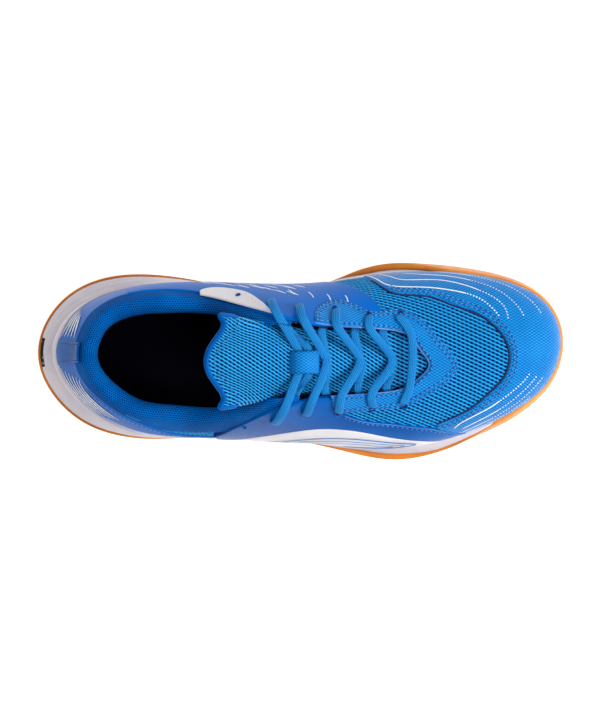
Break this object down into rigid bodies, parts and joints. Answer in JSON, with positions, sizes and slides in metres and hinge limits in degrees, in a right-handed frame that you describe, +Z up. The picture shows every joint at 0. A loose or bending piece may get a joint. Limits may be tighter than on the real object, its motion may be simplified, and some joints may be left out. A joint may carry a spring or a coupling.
{
  "type": "court shoe",
  "caption": "Right-foot court shoe with a knitted mesh upper, film overlays, cupped foam midsole, gum rubber outsole, padded tongue and flat lacing.",
  "frame": {"origin": "middle of the footprint box, on the ground", "axes": "+X to the toe, +Y to the medial (inner) side, +Z up"},
  "size_m": [0.2994, 0.111, 0.1238],
  "materials": {
    "gum": "satin gum rubber",
    "insert": "matt dark blue rubber",
    "foam": "satin moulded foam",
    "plate": "matt moulded plate",
    "board": "stitched board",
    "mesh": "open knitted mesh",
    "knit": "fine knitted mesh",
    "lining": "brushed lining",
    "film": "satin film with fine embossing",
    "white_film": "satin white film",
    "stiffener": "moulded fibre sheet",
    "braid": "flat braided lace",
    "tip": "clear hard tip"
  },
  "bodies": {
    "shoe": {"outsole": "gum", "heel_insert": "insert", "midsole": "foam", "shank_plate": "plate", "strobel_board": "board", "insole_foam": "foam", "insole_cover": "lining", "mesh_upper": "mesh", "lining": "lining", "collar_pad": "foam", "collar_cover": "knit", "heel_counter": "stiffener", "toe_puff": "stiffener", "toe_cap": "film", "eyestay": "film", "eyelet_backer_medial": "stiffener", "eyelet_backer_lateral": "stiffener", "medial_quarter": "film", "lateral_quarter": "film", "medial_patch": "white_film", "lateral_patch": "white_film", "heel_film": "film", "heel_strip": "film", "tongue_base_face": "mesh", "tongue_base_foam": "foam", "lace_keeper": "film", "lace": "braid", "lace_tail_medial": "braid", "aglet_medial": "tip", "lace_tail_lateral": "braid", "aglet_lateral": "tip"},
    "tongue_tip": {"tongue_flap_face": "mesh", "tongue_flap_foam": "foam", "tongue_binding": "film"}
  },
  "joints": [
    {"name": "tongue_lift", "type": "hinge", "parent": "shoe", "child": "tongue_tip", "pos_m": [-0.0185, -0.0005, 0.1035], "axis": [0, 1, 0], "range_deg": [-8, 40]}
  ]
}
